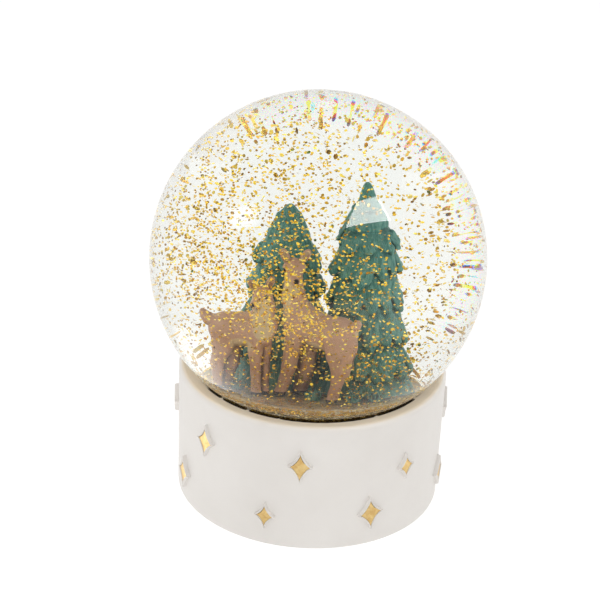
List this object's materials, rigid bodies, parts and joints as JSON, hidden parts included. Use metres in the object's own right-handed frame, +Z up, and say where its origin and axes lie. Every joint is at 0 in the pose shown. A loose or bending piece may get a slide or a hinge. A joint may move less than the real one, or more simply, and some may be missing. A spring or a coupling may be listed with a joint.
{
  "type": "snow globe",
  "caption": "Liquid-filled glass ball on a round drum base with raised gold stars, holding fir trees, deer and drifting gold glitter.",
  "frame": {"origin": "centre of the flat underside", "axes": "+Z up along the drum's axis, -Y the front, where the deer stand before the trees"},
  "size_m": [0.1, 0.1, 0.1262],
  "materials": {
    "cast_white": "matte",
    "gold_foil": "satin",
    "grey_board": "matte",
    "felt": "matte",
    "clear_bond": "gloss",
    "blown_glass": "polished",
    "stopper_rubber": "matte",
    "ground_paint": "matte",
    "fir_green": "satin",
    "deer_brown": "satin",
    "clear_liquid": "polished",
    "gold_glitter": "gloss"
  },
  "bodies": {
    "globe": {"base_drum": "cast_white", "star_foils": "gold_foil", "bottom_board": "grey_board", "felt_pad": "felt", "globe_adhesive": "clear_bond", "glass_globe": "blown_glass", "rubber_stopper": "stopper_rubber", "stopper_sealant": "clear_bond", "scene_plinth": "ground_paint", "tall_tree": "fir_green", "short_tree": "fir_green", "deer_right": "deer_brown", "deer_left": "deer_brown", "ground_tufts": "fir_green", "settled_glitter": "gold_glitter", "liquid_fill": "clear_liquid"},
    "swirl_upper": {"glitter_upper": "gold_glitter"},
    "swirl_middle": {"glitter_middle": "gold_glitter"},
    "swirl_lower": {"glitter_lower": "gold_glitter"},
    "sinking_flakes": {"glitter_falling": "gold_glitter"}
  },
  "joints": [
    {"name": "upper_swirl", "type": "hinge", "parent": "globe", "child": "swirl_upper", "pos_m": [0, 0, 0.0762], "axis": [0, 0, 1], "continuous": true},
    {"name": "middle_swirl", "type": "hinge", "parent": "globe", "child": "swirl_middle", "pos_m": [0, 0, 0.0762], "axis": [0, 0, 1], "continuous": true},
    {"name": "lower_swirl", "type": "hinge", "parent": "globe", "child": "swirl_lower", "pos_m": [0, 0, 0.0762], "axis": [0, 0, 1], "continuous": true},
    {"name": "flake_sinking", "type": "slide", "parent": "swirl_middle", "child": "sinking_flakes", "axis": [0, 0, -1], "range_m": [0, 0.022]}
  ]
}
